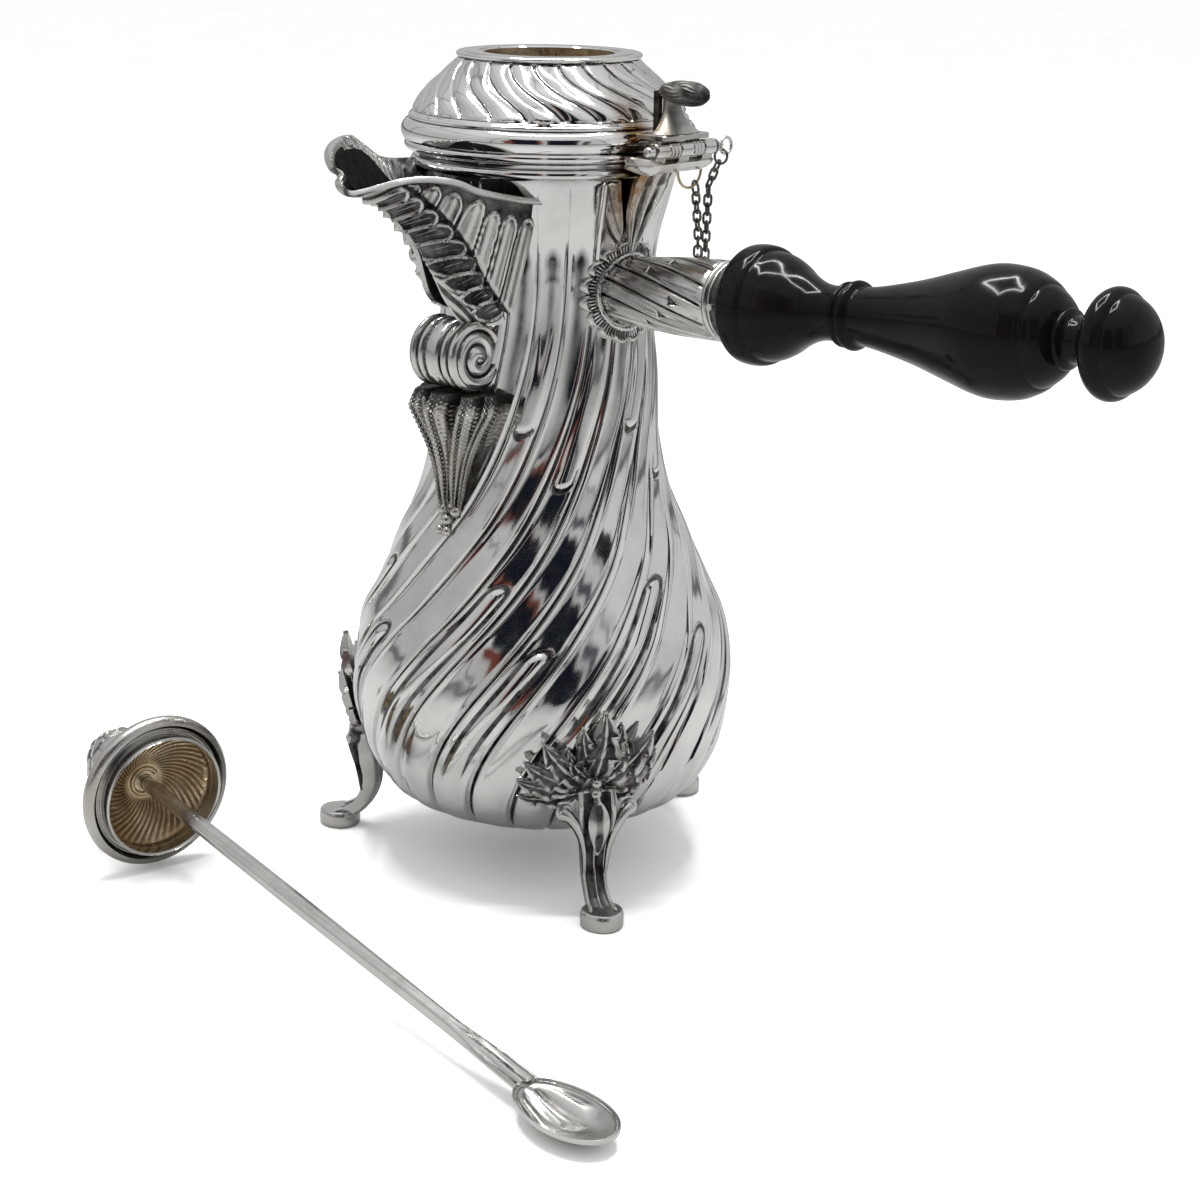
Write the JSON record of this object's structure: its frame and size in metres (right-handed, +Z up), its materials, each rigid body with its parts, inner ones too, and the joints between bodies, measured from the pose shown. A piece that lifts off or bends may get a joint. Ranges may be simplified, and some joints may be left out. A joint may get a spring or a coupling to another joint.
{
  "type": "chocolate pot",
  "caption": "Pear-shaped footed chocolate pot in fluted silver, with turned side handle, hinged open lid, open spout, hinge pin on a chain, and a loose stirrer with capped rod.",
  "frame": {"origin": "on the table, under the centre of the pot's body", "axes": "+Z up along the pot's own axis, +X along the handle, -Y towards the spout"},
  "size_m": [0.2508, 0.1746, 0.2],
  "materials": {
    "polished_silver": "polished silver",
    "chased_silver": "chased and cast silver, dark in the recesses",
    "oxidised_silver": "oxidised silver wire",
    "ebonised_wood": "ebonised, polished",
    "gilt_interior": "worn gilding, tarnished brown"
  },
  "bodies": {
    "pot": {"body_shell": "polished_silver", "neck_ring": "polished_silver", "spout": "chased_silver", "spout_scroll": "chased_silver", "spout_leaf": "chased_silver", "foot_front": "chased_silver", "foot_rear": "chased_silver", "foot_left": "chased_silver", "handle_socket": "chased_silver", "socket_rosette": "chased_silver", "socket_ferrule": "polished_silver", "handle_grip": "ebonised_wood", "handle_rivet": "polished_silver", "hinge_bracket": "polished_silver", "chain_bail": "oxidised_silver"},
    "lid": {"lid_rim": "polished_silver", "lid_bezel": "polished_silver", "lid_shell": "polished_silver", "lid_mouth_ring": "polished_silver", "lid_hinge_leaf": "polished_silver", "thumbpiece": "chased_silver"},
    "hinge_pin": {"hinge_pin": "oxidised_silver"},
    "pin_chain": {"chain_pin_strand": "oxidised_silver"},
    "bail_chain": {"chain_bail_strand": "oxidised_silver"},
    "stirrer": {"stirrer_rim": "polished_silver", "stirrer_collar": "polished_silver", "stirrer_cap": "gilt_interior", "stirrer_knob": "chased_silver", "stirrer_nut": "gilt_interior", "stirrer_rod": "polished_silver", "stirrer_spoon": "polished_silver"}
  },
  "joints": [
    {"name": "lid_hinge", "type": "hinge", "parent": "pot", "child": "lid", "pos_m": [0.0425, 0, 0.181], "axis": [0, 1, 0], "range_deg": [0, 100]},
    {"name": "hinge_pin_slide", "type": "slide", "parent": "pot", "child": "hinge_pin", "axis": [0, 1, 0], "range_m": [0, 0.026]},
    {"name": "pin_chain_swing", "type": "hinge", "parent": "hinge_pin", "child": "pin_chain", "pos_m": [0.0425, 0.015, 0.1807], "axis": [1, 0, 0], "range_deg": [-20.5, 0.5]},
    {"name": "bail_chain_swing", "type": "hinge", "parent": "pot", "child": "bail_chain", "pos_m": [0.0392, 0.0062, 0.1754], "axis": [1, 0, 0], "range_deg": [-0.5, 20]},
    {"name": "stirrer_lift", "type": "slide", "parent": "pot", "child": "stirrer", "axis": [0, 0, 1], "range_m": [0, 0.24]}
  ],
  "couplings": [
    {"joint": "pin_chain_swing", "follows": "hinge_pin_slide", "rad_per_m": -13.16},
    {"joint": "bail_chain_swing", "follows": "hinge_pin_slide", "rad_per_m": 12.6}
  ]
}
